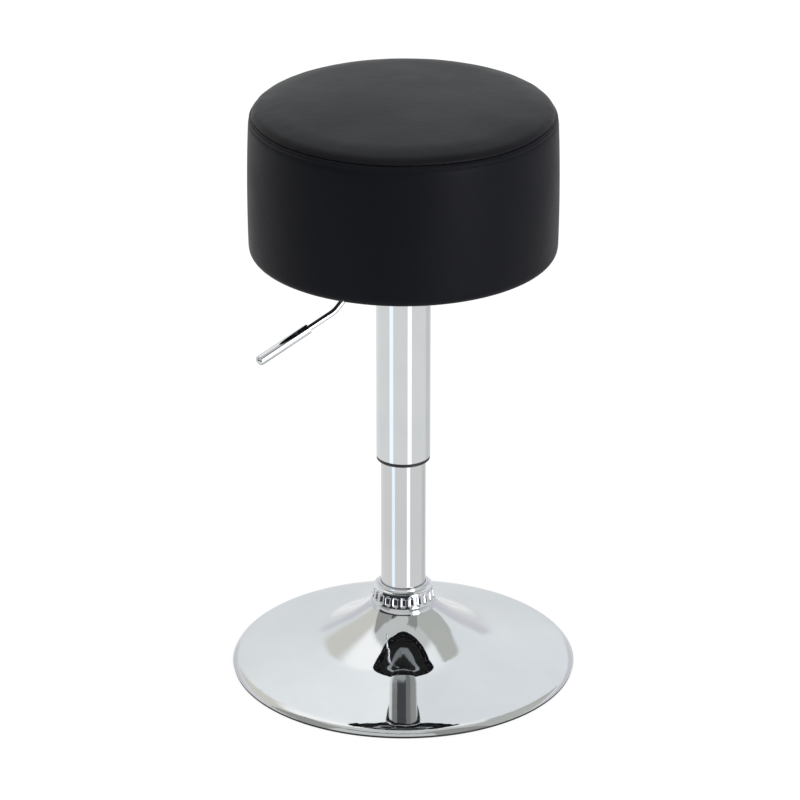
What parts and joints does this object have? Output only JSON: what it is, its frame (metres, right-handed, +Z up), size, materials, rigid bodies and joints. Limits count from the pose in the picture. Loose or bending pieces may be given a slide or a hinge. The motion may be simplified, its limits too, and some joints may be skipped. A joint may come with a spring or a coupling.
{
  "type": "bar stool",
  "caption": "Gas-lift bar stool with an upholstered round drum seat on a swivelling telescopic column, a bent release lever and a trumpet-shaped base.",
  "frame": {"origin": "on the floor, at the centre of the base, under the column's axis", "axes": "+Z up along the column; the release lever points along -X; +Y completes the right-handed frame"},
  "size_m": [0.385, 0.385, 0.6733],
  "materials": {
    "chrome": "polished",
    "black_plastic": "matte",
    "edging_rubber": "matte",
    "seal_rubber": "matte",
    "cage_plastic": "matte",
    "welded_steel": "satin black paint",
    "plain_steel": "ground",
    "zinc_steel": "zinc plated",
    "cylinder_paint": "black lacquer",
    "valve_alloy": "machined",
    "plywood": "raw",
    "foam": "open cell foam",
    "faux_leather": "fine grain, satin",
    "lining": "non-woven"
  },
  "bodies": {
    "base": {"base_shell": "chrome", "base_edging": "edging_rubber", "base_socket": "welded_steel", "base_brace": "welded_steel", "stand_tube": "chrome", "foot_plate": "plain_steel", "collar": "chrome", "guide_bush": "black_plastic", "lower_race": "plain_steel"},
    "bearing_cage": {"ball_cage": "cage_plastic", "bearing_balls": "plain_steel"},
    "gas_rod": {"upper_race": "plain_steel", "piston_rod": "plain_steel", "rod_washer": "zinc_steel", "rod_clip": "zinc_steel", "rod_buffer": "seal_rubber", "piston": "valve_alloy", "piston_seal": "seal_rubber"},
    "seat": {"gas_cylinder": "cylinder_paint", "rod_guide": "black_plastic", "rod_seal": "seal_rubber", "valve_body": "valve_alloy", "cover_tube": "chrome", "cover_guide_ring": "black_plastic", "cover_top_ring": "black_plastic", "seat_hub": "welded_steel", "seat_plate": "zinc_steel", "lever_bracket": "welded_steel", "lever_pivot_pin": "zinc_steel", "lever_pivot_clip": "zinc_steel", "seat_bolts": "zinc_steel", "bolt_washers": "zinc_steel", "tee_nuts": "zinc_steel", "seat_board": "plywood", "seat_foam": "foam", "seat_cover_top": "faux_leather", "seat_cover_band": "faux_leather", "dust_cover": "lining", "hem_staples": "zinc_steel"},
    "lever": {"lever_rod": "chrome", "lever_grip": "chrome"},
    "release_pin": {"release_pin": "zinc_steel"}
  },
  "joints": [
    {"name": "seat_swivel", "type": "hinge", "parent": "base", "child": "gas_rod", "pos_m": [0, 0, 0], "axis": [0, 0, 1], "continuous": true},
    {"name": "cage_roll", "type": "hinge", "parent": "base", "child": "bearing_cage", "pos_m": [0, 0, 0], "axis": [0, 0, 1], "continuous": true},
    {"name": "seat_lift", "type": "slide", "parent": "gas_rod", "child": "seat", "axis": [0, 0, 1], "range_m": [-0.07, 0.105]},
    {"name": "lever_pivot", "type": "hinge", "parent": "seat", "child": "lever", "pos_m": [-0.026, 0, 0.4859], "axis": [0, 1, 0], "range_deg": [0, 7], "stiffness_Nm_per_rad": 3, "springref_deg": -5.73},
    {"name": "release_press", "type": "slide", "parent": "seat", "child": "release_pin", "axis": [0, 0, -1], "range_m": [0, 0.0032]}
  ],
  "couplings": [
    {"joint": "cage_roll", "follows": "seat_swivel", "ratio": 0.5},
    {"joint": "release_press", "follows": "lever_pivot", "m_per_rad": 0.026}
  ]
}
